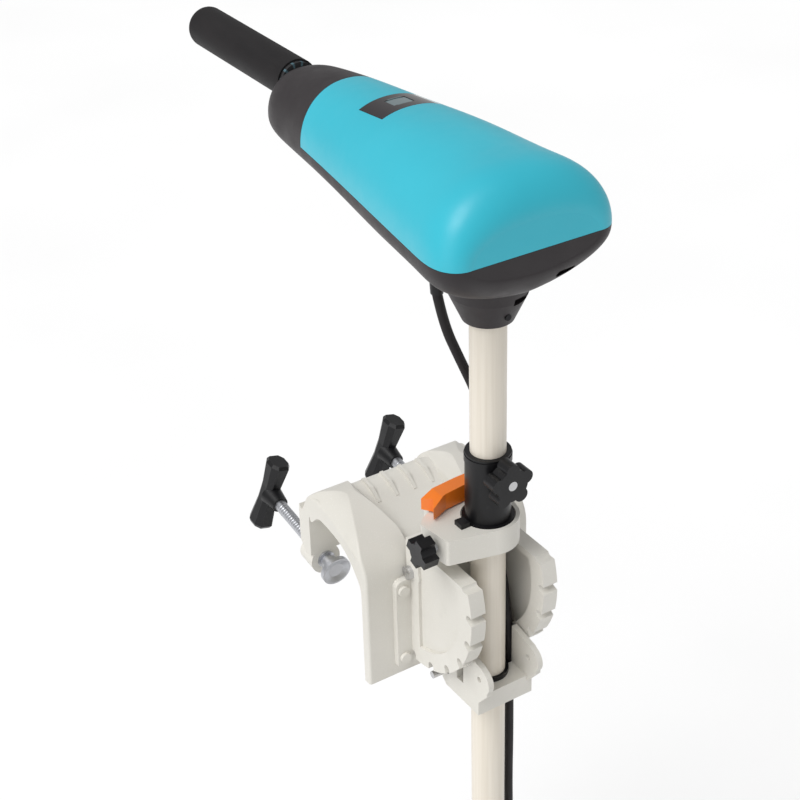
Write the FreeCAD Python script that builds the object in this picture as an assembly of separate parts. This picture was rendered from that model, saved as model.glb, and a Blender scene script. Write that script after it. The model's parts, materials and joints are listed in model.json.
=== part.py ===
"""Transom-mount electric trolling motor: clamp bracket, tilting yoke, steering shaft,
control head with twist grip, and submerged motor with propeller.

Frame: millimetres, +Z up, +Y from the water towards the inside of the boat, X across the boat.
The origin is the centre of the clamp bracket's flat face that rests on the transom.
"""
import FreeCAD, Part
import math
import os

from FreeCAD import Placement, Rotation, Vector

os.makedirs("parts", exist_ok=True)

X_AXIS = Vector(1, 0, 0)
Y_AXIS = Vector(0, 1, 0)
Z_AXIS = Vector(0, 0, 1)

# ---------------------------------------------------------------- driving dimensions
SHAFT_Y = -65.0            # steering axis, behind the transom face
SHAFT_R = 14.3             # 28.6 mm composite tube
SHAFT_BORE_R = 11.8
SHAFT_TOP = 352.0
SHAFT_BOTTOM = -562.0      # 914 mm tube

TONGUE_TOP = 117.0         # yoke: the collar rests here
TONGUE_BOTTOM = 94.0
BLOCK_TOP = -42.0          # lower bearing block of the yoke
BLOCK_BOTTOM = -61.0
BLOCK_FRONT = -90.0
YOKE_HALF = 27.0
UPPER_BUSH_R = 19.5
LOWER_BUSH_R = 17.2
RUNNING_GAP = 0.06         # radial play of running fits

COLLAR_R = 18.4
COLLAR_TOP = 177.0
COLLAR_KNOB_Y = SHAFT_Y - 33.5
COLLAR_KNOB_Z = 161.0
COLLAR_SCREW_R = 4.0

PIVOT_Y = -14.0            # tilt axis
PIVOT_Z = 46.0
PIVOT_R = 4.0
BARREL_R = 6.0

QUADRANT_R = 88.5          # toothed cheek plates
QUADRANT_TOP = 77.0
RIM_WIDTH = 17.0
QUADRANT_IN = 28.2
QUADRANT_OUT = 42.0
CHEEK_WEB = 4.5
CHEEK_RECESS = 2.6         # of the web behind the rim's outer face
NOTCH_STEP = 18.5          # degrees between notches
NOTCH_COUNT = 7
NOTCH_REST = 5             # index of the notch below the lock bar
NOTCH_TOP_ANGLE = -22.0    # first notch, degrees below horizontal
NOTCH_SEAT_R = 85.0
LOCK_BAR_R = 3.2
LOCK_TRAVEL = 10.0

BOLT_X = 49.5              # screws that join the tilt bracket to the clamp bracket
BOLT_LEVELS = (-40, 30)
BOLT_R = 2.6

PLATE_HALF = 81.0          # clamp bracket
PLATE_T = 8.0
PLATE_BOTTOM = -60.0
THROAT_TOP = 60.0
THROAT_DEPTH = 93.0
JAW_T = 17.0
JAW_BOTTOM = 12.0
SADDLE_Z = 66.0            # hollow of the hook under the tilted yoke
HOOK_CREST = 88.0          # two raised bands beside it
SCREW_X = 61.5
SCREW_SLOPE = 7.9          # degrees, the clamp screws dip towards the transom
SCREW_JAW = Vector(0, 101.5, 3.9)
SCREW_R = 5.3
SCREW_PITCH = 3.0
SCREW_NECK_R = 3.6         # behind the ball that the pad turns on
SCREW_BALL_R = 5.0
NUT_R = 8.0                # threaded bush in the jaw
PAD_REACH = 20.7           # from the jaw's middle to the pad's cup
HUB_REACH = 78.0           # from the jaw's middle to the handle's hub
HANDLE_TURN = 16.0         # degrees, where the T handles happen to stand

SEAM_Z = 372.0             # control head, seam between cover and lower housing
NOSE_Y = 125.0             # front edge of the cover
WALL = 2.6
DISPLAY = (-26.0, 26.0, 33.0, 66.0)     # window's X and Y limits
COVER_SCREWS = [(-48, -70), (48, -70), (-34, 70), (34, 70)]
COVER_SCREW_R = 1.7
BOARD_TOP = 353.6
HANDLE_Z = 391.0
HANDLE_ROD_R = 8.0
HANDLE_BEARING_R = 13.0
GRIP_R = 18.0
GRIP_START = 207.0
GRIP_END = 372.0

POD_Z = -602.0             # submerged motor
POD_R = 46.0
POD_FRONT = 8.0
POD_REAR = -142.0
ARMATURE_R = 33.0
COMMUTATOR_R = 12.0
POD_BOLT_X = 36.0
POD_BOLT_R = 2.5
MOTOR_BEARING_R = 11.0
SEAL_R = 8.5
MOTOR_SHAFT_R = 5.0
DRIVE_PIN_Y = -196.0
DRIVE_PIN_R = 1.5
HUB_FRONT = POD_REAR - 48  # propeller
HUB_LENGTH = 50.0
HUB_R = 24.0
PROP_R = 118.0

CABLE_R = 4.0
CABLE_ROUTE = [            # battery cable, from the gland to the top of the hank
    (-14, -18, 297), (-10, -20.5, 270), (-1, -28, 241), (9, -37, 210), (15, -43, 177),
    (17.6, -45.8, 142), (17.8, -46.2, 112), (18, -46.8, 86), (19.5, -52, 62), (21, -58, 32),
    (22.5, -62, -8), (23, -62.5, -46), (24, -62, -86), (25, -61, -132), (25.2, -60, -180),
    (25.8, -60.5, -226), (25.6, -60, -270), (26, -60.4, -314),
]
HANK_X = 50.0              # middle of the folded spare cable
HANK_Y = -52.0
HANK_TOP = -300.0
HANK_BOTTOM = -450.0
HANK_LOOP_R = 28.0         # outer radius of its end loops
HANK_WAIST = 10.5          # half width where the tie draws it in
HANK_DEPTH = 25.0


# ---------------------------------------------------------------- helpers
def cyl(radius, length, base, axis=Z_AXIS):
    return Part.makeCylinder(radius, length, Vector(*base), axis)


def tube(outer, inner, length, base, axis=Z_AXIS):
    return cyl(outer, length, base, axis).cut(cyl(inner, length, base, axis))


def box(x0, x1, y0, y1, z0, z1):
    return Part.makeBox(x1 - x0, y1 - y0, z1 - z0, Vector(x0, y0, z0))


def cone(r0, r1, length, base, axis=Z_AXIS):
    return Part.makeCone(r0, r1, length, Vector(*base), axis)


def fuse(shapes):
    shapes = list(shapes)
    return shapes[0].multiFuse(shapes[1:]).removeSplitter()


def mirrored(shape):
    return shape.mirror(Vector(0, 0, 0), X_AXIS)


def turned(shape, centre, axis, angle):
    copy = shape.copy()
    copy.rotate(Vector(*centre), axis, angle)
    return copy


def side_prism(points, x0, x1):
    """Prism across X of a YZ outline."""
    wire = Part.makePolygon([Vector(x0, y, z) for y, z in points + points[:1]])
    return Part.Face(wire).extrude(Vector(x1 - x0, 0, 0))


def plan_prism(points, z0, z1):
    """Upright prism of an XY outline."""
    wire = Part.makePolygon([Vector(x, y, z0) for x, y in points + points[:1]])
    return Part.Face(wire).extrude(Vector(0, 0, z1 - z0))


def filleted(shape, radius, edges):
    """Shape with these edges filleted, or None where the kernel can't."""
    try:
        result = shape.makeFillet(radius, edges)
    except Exception:
        return None
    return result if result.isValid() and result.Volume > 0 else None


def rounded(shape, radius, wanted):
    """Fillet the edges that wanted(edge) picks, or as many as the kernel can."""
    edges = [edge for edge in shape.Edges if wanted(edge)]
    whole = filleted(shape, radius, edges)
    if whole is not None:
        return whole
    for middle in [edge.CenterOfMass for edge in edges]:
        same = [edge for edge in shape.Edges if edge.CenterOfMass.distanceToPoint(middle) <= 1e-4]
        shape = filleted(shape, radius, same[:1]) or shape
    return shape


def parallel(edge, axis):
    """True for a straight edge that runs along axis."""
    if not isinstance(edge.Curve, Part.Line):
        return False
    return abs(edge.tangentAt(edge.FirstParameter).dot(axis)) > 0.999


def save(name, shape):
    solids = shape.Solids
    if not solids or not shape.isValid():
        raise RuntimeError("bad shape: " + name)
    kept = solids[0] if len(solids) == 1 else Part.makeCompound(solids)
    kept.exportStep("parts/" + name + ".step")
    bounds = kept.BoundBox
    print("%-24s %2d solid(s) %9.0f mm3  X %.0f..%.0f Y %.0f..%.0f Z %.0f..%.0f" % (
        name, len(solids), kept.Volume, bounds.XMin, bounds.XMax,
        bounds.YMin, bounds.YMax, bounds.ZMin, bounds.ZMax))


# ---------------------------------------------------------------- clamp bracket
def smooth_edge(points):
    """Smooth curve through points, upright where it starts and where it ends."""
    curve = Part.BSplineCurve()
    curve.interpolate(Points=points, InitialTangent=Z_AXIS, FinalTangent=-Z_AXIS)
    return curve.toShape()


def hook_run(top_line):
    """Plate, hook and jaw as one bent strip, under a smooth line of (y, z) points."""
    jaw_back = THROAT_DEPTH + JAW_T
    throat_line = [(0, 28), (2, 38), (9, 47), (24, 56), (44, THROAT_TOP), (64, THROAT_TOP),
                   (80, 57.5), (90, 50), (THROAT_DEPTH, 38)]
    top = [Vector(-PLATE_HALF, y, z) for y, z in top_line]
    throat = [Vector(-PLATE_HALF, y, z) for y, z in throat_line]
    jaw = Part.makePolygon([top[-1], Vector(-PLATE_HALF, jaw_back, JAW_BOTTOM + 5),
                            Vector(-PLATE_HALF, jaw_back - 4, JAW_BOTTOM),
                            Vector(-PLATE_HALF, THROAT_DEPTH, JAW_BOTTOM), throat[-1]])
    plate = Part.makePolygon([throat[0], Vector(-PLATE_HALF, 0, PLATE_BOTTOM),
                              Vector(-PLATE_HALF, -PLATE_T, PLATE_BOTTOM), top[0]])
    edges = [smooth_edge(top), smooth_edge(throat)] + jaw.Edges + plate.Edges
    wire = Part.Wire(Part.__sortEdges__(edges))
    return Part.Face(wire).extrude(Vector(2 * PLATE_HALF, 0, 0))


def hook_band():
    """Rounded band along the left of the hook, seen along the boat, to trim the hook with."""
    crest = [Vector(x, -20, z) for x, z in ((-PLATE_HALF, 60), (-77, 72), (-68, 82), (-57, HOOK_CREST),
                                            (-46, HOOK_CREST - 1), (-39, 78), (-36, 62))]
    rest = Part.makePolygon([crest[-1], Vector(-36, -20, -100), Vector(-PLATE_HALF, -20, -100), crest[0]])
    wire = Part.Wire(Part.__sortEdges__([smooth_edge(crest)] + rest.Edges))
    return Part.Face(wire).extrude(Vector(0, 200, 0))


def hook_body():
    """Bent strip with a saddle down its middle and a rounded band each side of it."""
    jaw_back = THROAT_DEPTH + JAW_T
    high = hook_run([(-PLATE_T, 40), (-5, 56), (4, 68), (22, 79), (44, 86), (62, HOOK_CREST),
                     (80, 83), (96, 69), (106, 54), (jaw_back, 38)])
    low = hook_run([(-PLATE_T, 34), (-4, 50), (5, 62), (16, SADDLE_Z), (33, SADDLE_Z), (50, SADDLE_Z + 1),
                    (64, 73), (80, 77), (96, 66), (106, 53), (jaw_back, 38)])
    band = hook_band()
    body = fuse([high.common(fuse([band, mirrored(band)])), low])
    taper = plan_prism([(-PLATE_HALF, -20), (-PLATE_HALF, 8), (-75.6, 62), (-75.6, 120),
                        (75.6, 120), (75.6, 62), (PLATE_HALF, 8), (PLATE_HALF, -20)], -100, 120)
    body = body.common(taper)
    return rounded(body, 2.5, lambda edge: abs(edge.CenterOfMass.x) > 75
                   and not parallel(edge, Y_AXIS) and not parallel(edge, X_AXIS))


def screw_axis_placement(side):
    """Places a piece built along +Y from the jaw's middle onto one clamp screw's line."""
    place = Vector(side * SCREW_X, SCREW_JAW.y, SCREW_JAW.z)
    return Placement(place, Rotation(X_AXIS, SCREW_SLOPE))


def on_screw(shape, side):
    copy = shape.copy()
    copy.Placement = screw_axis_placement(side).multiply(copy.Placement)
    return copy


def clamp_bracket():
    ribs = [side_prism([(56, 60), (56, 70), (68, 78.5), (82, 80), (96, 60)], x - 1.5, x + 1.5)
            for x in (-27, -9, 9, 27)]
    body = fuse([hook_body()] + ribs)
    # slot between the two screws, so that each jaw leg stands alone
    body = body.cut(box(-40, 40, THROAT_DEPTH - 1, THROAT_DEPTH + JAW_T + 1, JAW_BOTTOM - 1, 36))
    for side in (-1, 1):
        boss = on_screw(cyl(14, JAW_T + 6, (0, -JAW_T / 2 - 3, 0), Y_AXIS), side)
        inside = box(-PLATE_HALF, PLATE_HALF, THROAT_DEPTH, THROAT_DEPTH + JAW_T + 3, -40, THROAT_TOP)
        body = fuse([body, boss.common(inside)])
        body = body.cut(on_screw(cyl(NUT_R, 60, (0, -30, 0), Y_AXIS), side))
        for z in BOLT_LEVELS:
            body = body.cut(cyl(BOLT_R, 30, (side * BOLT_X, -20, z), Y_AXIS))
            body = body.cut(cyl(5.0, 4, (side * BOLT_X, -3.4, z), Y_AXIS))
    return body


def clamp_nut(side):
    """Threaded steel bush in the jaw."""
    flange = cyl(10, 3, (0, JAW_T / 2 + 4, 0), Y_AXIS)
    bush = cyl(NUT_R, JAW_T + 5, (0, -JAW_T / 2 - 1, 0), Y_AXIS)
    bore = cyl(SCREW_R + RUNNING_GAP, 60, (0, -30, 0), Y_AXIS)
    return on_screw(fuse([bush, flange]).cut(bore), side)


def clamp_screw(side):
    """Rod with a ball at the pad end and rings at the thread's pitch along its middle."""
    rod = cyl(SCREW_R, PAD_REACH + HUB_REACH + 4, (0, -PAD_REACH + 6, 0), Y_AXIS)
    count = int((PAD_REACH + HUB_REACH - 22) / SCREW_PITCH)
    grooves = [Part.makeTorus(SCREW_R + 0.55, 1.1, Vector(0, -PAD_REACH + 14 + SCREW_PITCH * i, 0), Y_AXIS)
               for i in range(count)]
    rod = rod.cut(Part.makeCompound(grooves))
    neck = cyl(SCREW_NECK_R, 8, (0, -PAD_REACH - 1, 0), Y_AXIS)
    ball = Part.makeSphere(SCREW_BALL_R, Vector(0, -PAD_REACH + 1.5, 0))
    return on_screw(fuse([rod, neck, ball]), side)


def clamp_handle(side):
    """Faceted T handle with a hub for the screw's end."""
    facets = ((-8, -4), (-4.5, -9), (4.5, -9), (8, -4), (8, 4), (4.5, 9), (-4.5, 9), (-8, 4), (-8, -4))
    sections = []
    for size, z in ((1.0, -34), (1.2, -31), (0.95, -8), (0.95, 8), (1.2, 31), (1.0, 34)):
        ring = [Vector(x * size, HUB_REACH + 14 + y * size, z) for x, y in facets]
        sections.append(Part.makePolygon(ring))
    arm = Part.makeLoft(sections, True, True)
    hub = cone(7.5, 10, 17, (0, HUB_REACH - 6, 0), Y_AXIS)
    handle = fuse([arm, hub]).cut(cyl(SCREW_R, 18, (0, HUB_REACH - 8, 0), Y_AXIS))
    return on_screw(turned(handle, (0, 0, 0), Y_AXIS, HANDLE_TURN), side)


def clamp_pad(side):
    """Dished steel pad crimped round the screw's ball."""
    centre = -PAD_REACH
    dish = cyl(13.6, 4.2, (0, centre - 6.7, 0), Y_AXIS)
    dish = dish.cut(cone(11.8, 7.0, 1.9, (0, centre - 6.7, 0), Y_AXIS))
    socket = cyl(7.6, 9, (0, centre - 2.5, 0), Y_AXIS)
    socket = socket.cut(cyl(SCREW_R + 0.5, 8, (0, centre + 4.5, 0), Y_AXIS))
    pad = fuse([dish, socket])
    pad = pad.cut(Part.makeSphere(SCREW_BALL_R + RUNNING_GAP, Vector(0, centre + 1.5, 0)))
    pad = pad.cut(cyl(SCREW_NECK_R + RUNNING_GAP, 5, (0, centre - 1.5, 0), Y_AXIS))
    return on_screw(pad, side)


def clamp_nuts():
    return Part.makeCompound([clamp_nut(side) for side in (-1, 1)])


# ---------------------------------------------------------------- toothed cheeks
def lock_seat():
    """Y and Z of the lock bar when it is seated in the notch it faces."""
    angle = math.radians(NOTCH_TOP_ANGLE + NOTCH_STEP * NOTCH_REST)
    return PIVOT_Y - NOTCH_SEAT_R * math.cos(angle), PIVOT_Z - NOTCH_SEAT_R * math.sin(angle)


def notch_cutter():
    """Open slot that the lock bar rises into, at the notch that it faces at rest."""
    y, z = lock_seat()
    half = LOCK_BAR_R + 0.35
    slot = box(-60, 60, y - half, y + half, z - 24, z)
    return fuse([slot, cyl(half, 120, (-60, y, z), X_AXIS)])


def cheek(side):
    """Fan-shaped plate, thick along its toothed rim and webbed inside it."""
    disc = cyl(QUADRANT_R, QUADRANT_OUT - QUADRANT_IN, (QUADRANT_IN, PIVOT_Y, PIVOT_Z), X_AXIS)
    fan = side_prism([(-14, QUADRANT_TOP), (-140, QUADRANT_TOP), (-140, -60), (-14, -60)],
                     QUADRANT_IN, QUADRANT_OUT)
    fan = fan.common(disc)
    hollow = cyl(QUADRANT_R - RIM_WIDTH, 60, (0, PIVOT_Y, PIVOT_Z), X_AXIS)
    window = [(-26, QUADRANT_TOP - 6), (-140, QUADRANT_TOP - 6), (-140, -60), (-26, -60)]
    for start, end in ((0, QUADRANT_OUT - CHEEK_RECESS - CHEEK_WEB), (QUADRANT_OUT - CHEEK_RECESS, 60)):
        fan = fan.cut(hollow.common(side_prism(window, start, end)))
    eye = cyl(11, QUADRANT_OUT - QUADRANT_IN, (QUADRANT_IN, PIVOT_Y - 2, PIVOT_Z), X_AXIS)
    fan = fuse([fan, eye.common(box(0, 60, -40, -PLATE_T - 0.2, 20, 70))])
    cutter = notch_cutter()
    for index in range(NOTCH_COUNT):
        step = NOTCH_STEP * (NOTCH_REST - index)
        fan = fan.cut(turned(cutter, (0, PIVOT_Y, PIVOT_Z), X_AXIS, -step))
    fan = fan.cut(cyl(PIVOT_R, 100, (-10, PIVOT_Y, PIVOT_Z), X_AXIS))
    return fan if side > 0 else mirrored(fan)


def tilt_bracket():
    """Back plate with the two cheeks, screwed to the clamp bracket's outer face."""
    plate = box(-56, 56, -PLATE_T - 6, -PLATE_T, -52, 39.5)
    plate = rounded(plate, 6, lambda edge: parallel(edge, Y_AXIS))
    plate = plate.cut(box(-QUADRANT_IN, QUADRANT_IN, -20, 0, 35, 60))
    parts = [plate]
    for side in (-1, 1):
        fan = cheek(side)
        foot = side_prism([(-14.5, -40), (-14.5, QUADRANT_TOP), (-PLATE_T - 0.2, QUADRANT_TOP),
                           (-PLATE_T - 0.2, 0), (-PLATE_T, 0), (-PLATE_T, -46)], QUADRANT_IN, QUADRANT_OUT)
        foot = foot.cut(cyl(PIVOT_R, 100, (-10, PIVOT_Y, PIVOT_Z), X_AXIS))
        parts += [fan, foot if side > 0 else mirrored(foot)]
    body = fuse(parts)
    for side in (-1, 1):
        for z in BOLT_LEVELS:
            body = body.cut(cyl(BOLT_R, 30, (side * BOLT_X, -20, z), Y_AXIS))
    return body


def bracket_bolts():
    """Four pan-head screws that join the two brackets, with nuts sunk below the transom face."""
    pieces = []
    for side in (-1, 1):
        for z in BOLT_LEVELS:
            head = cyl(4.8, 3.0, (side * BOLT_X, -17.0, z), Y_AXIS)
            stem = cyl(BOLT_R, 13.6, (side * BOLT_X, -14.0, z), Y_AXIS)
            nut = tube(4.8, BOLT_R, 3.0, (side * BOLT_X, -3.4, z), Y_AXIS)
            pieces += [fuse([head, stem]), nut]
    return Part.makeCompound(pieces)


def tilt_pin():
    """Headed pin that the yoke tilts on, with its nut."""
    pin = fuse([cyl(PIVOT_R, 92, (-46, PIVOT_Y, PIVOT_Z), X_AXIS),
                cyl(5.8, 3, (QUADRANT_OUT, PIVOT_Y, PIVOT_Z), X_AXIS)])
    nut = tube(5.8, PIVOT_R, 4, (-QUADRANT_OUT - 4, PIVOT_Y, PIVOT_Z), X_AXIS)
    return Part.makeCompound([pin, nut])


# ---------------------------------------------------------------- tilting yoke
LEVER_PIVOT = Vector(8, -33, 124)
LEVER_PIN_R = 1.8
LOCK_ROD_X = -14.0
LOCK_ROD_Y = -33.0
LOCK_ROD_R = 2.0
KNOB_AXIS_Z = 105.0
TENSION_SCREW_R = 3.0


def tongue():
    """Top plate of the yoke, with the ring round the shaft."""
    outline = [(-52, -47), (-48, -79), (-8, -88.8), (12, -87), (24, -74), (28, -56), (27, -28),
               (22, -24), (-35, -24), (-36, -36), (-46, -41)]
    plate = plan_prism(outline, TONGUE_BOTTOM, TONGUE_TOP)
    plate = rounded(plate, 3, lambda edge: parallel(edge, Z_AXIS))
    ring = cyl(25.2, TONGUE_TOP - TONGUE_BOTTOM, (0, SHAFT_Y, TONGUE_BOTTOM))
    lugs = [box(4, 12, y, y + 2.5, TONGUE_TOP - 1, TONGUE_TOP + 11) for y in (-44.5, -24.0 - 2.5)]
    return fuse([plate, ring] + lugs)


def yoke():
    """Casting that carries the shaft, from the top ring to the lower block."""
    rail_side = [(-26, TONGUE_BOTTOM + 1), (-44, TONGUE_BOTTOM + 1), (-44, 10), (-56, -5),
                 (-60, BLOCK_BOTTOM), (-42, BLOCK_BOTTOM), (-17, -36), (-17, 38), (-19, 52), (-26, 62)]
    rails = [side_prism(rail_side, x, x + 6) for x in (-YOKE_HALF, YOKE_HALF - 6)]
    block_side = [(BLOCK_FRONT, BLOCK_TOP), (BLOCK_FRONT, BLOCK_BOTTOM), (-42, BLOCK_BOTTOM),
                  (-17, -36), (-17, -30), (-46, -30), (-46, BLOCK_TOP)]
    block = side_prism(block_side, -YOKE_HALF, YOKE_HALF)
    web = box(-YOKE_HALF, YOKE_HALF, -22, -17, -34, 40)
    barrel = cyl(BARREL_R, 2 * YOKE_HALF, (-YOKE_HALF, PIVOT_Y, PIVOT_Z), X_AXIS)
    barrel_foot = box(-YOKE_HALF, YOKE_HALF, -22, PIVOT_Y - 1, PIVOT_Z - BARREL_R, PIVOT_Z + 2)
    ears = []
    for x in (-YOKE_HALF, YOKE_HALF - 5):
        ear = side_prism([(-68, -4), (-68, -50), (-88, -50), (-102, -33), (-102, -14), (-94, -9)], x, x + 5)
        ear = fuse([ear, cyl(12, 5, (x, -93, -22), X_AXIS)])
        ears.append(ear.cut(cyl(2.6, 5, (x, -91, -22), X_AXIS)))
    shelf = box(-21, -8, -40, -18, 16, 20)
    body = fuse([tongue(), block, web, barrel, barrel_foot, shelf] + rails + ears)

    body = body.cut(cyl(UPPER_BUSH_R, 40, (0, SHAFT_Y, TONGUE_BOTTOM - 5)))
    body = body.cut(cyl(22.0, 3, (0, SHAFT_Y, TONGUE_TOP - 2)))
    body = body.cut(box(-30, 0, SHAFT_Y - 7, SHAFT_Y + 3, TONGUE_TOP - 2, TONGUE_TOP + 1))
    body = body.cut(cyl(LOWER_BUSH_R, 60, (0, SHAFT_Y, BLOCK_BOTTOM - 1)))
    body = body.cut(cyl(PIVOT_R + RUNNING_GAP, 80, (-40, PIVOT_Y, PIVOT_Z), X_AXIS))
    body = body.cut(cyl(TENSION_SCREW_R + RUNNING_GAP, 40, (-60, SHAFT_Y, KNOB_AXIS_Z), X_AXIS))
    body = body.cut(cyl(LEVER_PIN_R, 40, (LEVER_PIVOT.x, -60, LEVER_PIVOT.z), Y_AXIS))
    # battery cable way through the ring plate and past the block
    body = body.cut(cord_tube(CABLE_ROUTE, CABLE_R + 1.0))
    body = body.cut(box(17.4, YOKE_HALF + 1, -68, -56.5, BLOCK_BOTTOM - 1, 20))
    # way of the lock bar and its rod
    y, seat = lock_seat()
    half = LOCK_BAR_R + 0.4
    body = body.cut(box(-40, 40, y - half, y + half, seat - LOCK_TRAVEL - half, seat + half))
    body = body.cut(box(LOCK_ROD_X - 3.6, LOCK_ROD_X + 3.6, y - half, LOCK_ROD_Y + 4,
                        seat - LOCK_TRAVEL - half, seat + half + 6))
    body = body.cut(cyl(LOCK_ROD_R + RUNNING_GAP, 180, (LOCK_ROD_X, LOCK_ROD_Y, -50)))
    return body


def upper_bush():
    """Flanged bearing in the ring, with a key tab."""
    bush = fuse([tube(UPPER_BUSH_R, 14, TONGUE_TOP - 92, (0, SHAFT_Y, 92)),
                 cyl(21.0, 2, (0, SHAFT_Y, TONGUE_TOP - 2)),
                 box(-30, -15, SHAFT_Y - 6.8, SHAFT_Y + 2.8, TONGUE_TOP - 2, TONGUE_TOP),
                 box(-30, -22, SHAFT_Y - 6.8, SHAFT_Y + 2.8, TONGUE_TOP - 2, TONGUE_TOP + 4)])
    return bush.cut(cyl(SHAFT_R + RUNNING_GAP, 60, (0, SHAFT_Y, 80)))


def lower_bush():
    """Flanged bearing in the lower block."""
    bush = cyl(LOWER_BUSH_R, BLOCK_TOP - BLOCK_BOTTOM + 4, (0, SHAFT_Y, BLOCK_BOTTOM))
    return bush.cut(cyl(SHAFT_R + RUNNING_GAP, 60, (0, SHAFT_Y, BLOCK_BOTTOM - 5)))


def release_lever():
    """Fishtail lever that lies flat on the tongue when it holds the lock open."""
    plan = plan_prism([(-42, -51), (-36, -41), (-42, -33), (-30, -31), (-8, -29), (12, -28.5),
                       (12, -41), (-8, -42), (-26, -44)], 110, 140)
    profile_points = [(-43, 119.4), (-43, 129), (-30, 133.5), (2, 134), (10, 129.5), (12, 126),
                      (12, 121), (9, 119.2), (3, 118.8), (-34, 118.8)]
    wire = Part.makePolygon([Vector(x, -60, z) for x, z in profile_points + profile_points[:1]])
    profile = Part.Face(wire).extrude(Vector(0, 50, 0))
    lever = plan.common(profile)
    return lever.cut(cyl(LEVER_PIN_R + RUNNING_GAP, 40, (LEVER_PIVOT.x, -60, LEVER_PIVOT.z), Y_AXIS))


def lever_pin():
    return cyl(LEVER_PIN_R, 20.5, (LEVER_PIVOT.x, -44.5, LEVER_PIVOT.z), Y_AXIS)


def lock_bar():
    """Cross bar, drawn with the lock open."""
    y, seat = lock_seat()
    level = seat - LOCK_TRAVEL
    bar = cyl(LOCK_BAR_R, 82, (-41, y, level), X_AXIS)
    arm = box(LOCK_ROD_X - 3.2, LOCK_ROD_X + 3.2, y, LOCK_ROD_Y + 3.4, level - 3, level + 3)
    return fuse([bar, arm]).cut(cyl(LOCK_ROD_R, 20, (LOCK_ROD_X, LOCK_ROD_Y, level - 10)))


def lock_rod():
    """Push rod from the bar up to the lever's underside."""
    _, seat = lock_seat()
    foot = seat - LOCK_TRAVEL - 3
    rod = cyl(LOCK_ROD_R, 118.2 - foot, (LOCK_ROD_X, LOCK_ROD_Y, foot))
    return fuse([rod, cyl(4.6, 1.6, (LOCK_ROD_X, LOCK_ROD_Y, 50))])


def lock_spring():
    """Compression spring between the yoke's shelf and the rod's washer."""
    turns = 7
    height = 50 - 20 - 1.6
    helix = Part.makeHelix(height / turns, height, 3.4)
    start = Vector(3.4, 0, 0)
    profile = Part.Wire([Part.makeCircle(0.55, start, Y_AXIS)])
    coil = Part.Wire(helix.Edges).makePipeShell([profile], True, True)
    coil.translate(Vector(LOCK_ROD_X, LOCK_ROD_Y, 20.8))
    return coil


def tension_screw():
    return cyl(TENSION_SCREW_R, 45, (-65.5, SHAFT_Y, KNOB_AXIS_Z), X_AXIS)


def tension_knob():
    """Lobed steering-friction knob."""
    lobes = [turned(box(-68, -55, SHAFT_Y - 4.2, SHAFT_Y + 4.2, KNOB_AXIS_Z, KNOB_AXIS_Z + 13),
                    (0, SHAFT_Y, KNOB_AXIS_Z), X_AXIS, 90 * i + 20) for i in range(4)]
    core = cyl(9, 13, (-68, SHAFT_Y, KNOB_AXIS_Z), X_AXIS)
    neck = cyl(6, 2, (-55, SHAFT_Y, KNOB_AXIS_Z), X_AXIS)
    knob = fuse([core, neck] + lobes)
    return knob.cut(cyl(TENSION_SCREW_R, 14, (-65.5, SHAFT_Y, KNOB_AXIS_Z), X_AXIS))


# ---------------------------------------------------------------- depth collar
def depth_collar():
    """Split sleeve round the shaft with the boss of its clamp screw."""
    body = cyl(COLLAR_R, COLLAR_TOP - TONGUE_TOP, (0, SHAFT_Y, TONGUE_TOP))
    rim = cyl(COLLAR_R + 0.6, 6, (0, SHAFT_Y, COLLAR_TOP - 8))
    boss = cyl(8.5, 17.2, (0, SHAFT_Y - 17.2, COLLAR_KNOB_Z), Y_AXIS)
    body = fuse([body, rim, boss])
    body = body.cut(cyl(SHAFT_R + RUNNING_GAP, 80, (0, SHAFT_Y, TONGUE_TOP - 5)))
    body = body.cut(cyl(COLLAR_SCREW_R + RUNNING_GAP, 28, (0, SHAFT_Y - 28, COLLAR_KNOB_Z), Y_AXIS))
    return body.cut(box(-1, 1, SHAFT_Y + 10, SHAFT_Y + 30, TONGUE_TOP - 1, COLLAR_TOP + 1))


def collar_screw():
    return cyl(COLLAR_SCREW_R, 19, (0, COLLAR_KNOB_Y, COLLAR_KNOB_Z), Y_AXIS)


def collar_knob():
    """Lobed hand knob of the depth collar."""
    centre = (0, COLLAR_KNOB_Y, COLLAR_KNOB_Z)
    neck_length = SHAFT_Y - COLLAR_R - 0.9 - COLLAR_KNOB_Y
    lobe = cyl(6.0, 13, (13.2, COLLAR_KNOB_Y, COLLAR_KNOB_Z), Y_AXIS)
    lobes = [turned(lobe, centre, Y_AXIS, 72 * index - 18) for index in range(5)]
    knob = fuse([cyl(14.0, 13, centre, Y_AXIS), cyl(7.5, neck_length, centre, Y_AXIS)] + lobes)
    return knob.cut(cyl(COLLAR_SCREW_R, 20, centre, Y_AXIS))


# ---------------------------------------------------------------- shaft and control head
def shaft():
    return tube(SHAFT_R, SHAFT_BORE_R, SHAFT_TOP - SHAFT_BOTTOM, (0, SHAFT_Y, SHAFT_BOTTOM))


def motor_leads():
    """Two insulated wires down the bore of the shaft."""
    return Part.makeCompound([cyl(2.2, SHAFT_TOP - SHAFT_BOTTOM + 4, (x, SHAFT_Y, SHAFT_BOTTOM + 2))
                              for x in (-4, 4)])


# place along Y, half width, height above the seam, depth below it
HEAD_STATIONS = [(-125, 54, 24, 17), (-121.5, 67, 41, 28), (-112, 73.5, 52, 38), (-80, 73.5, 57, 42),
                 (-20, 65, 57, 40), (60, 53.5, 52, 34), (125, 45, 47, 30), (165, 40.5, 42, 28),
                 (192, 36, 36, 22), (204, 29, 30, 15)]


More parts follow.
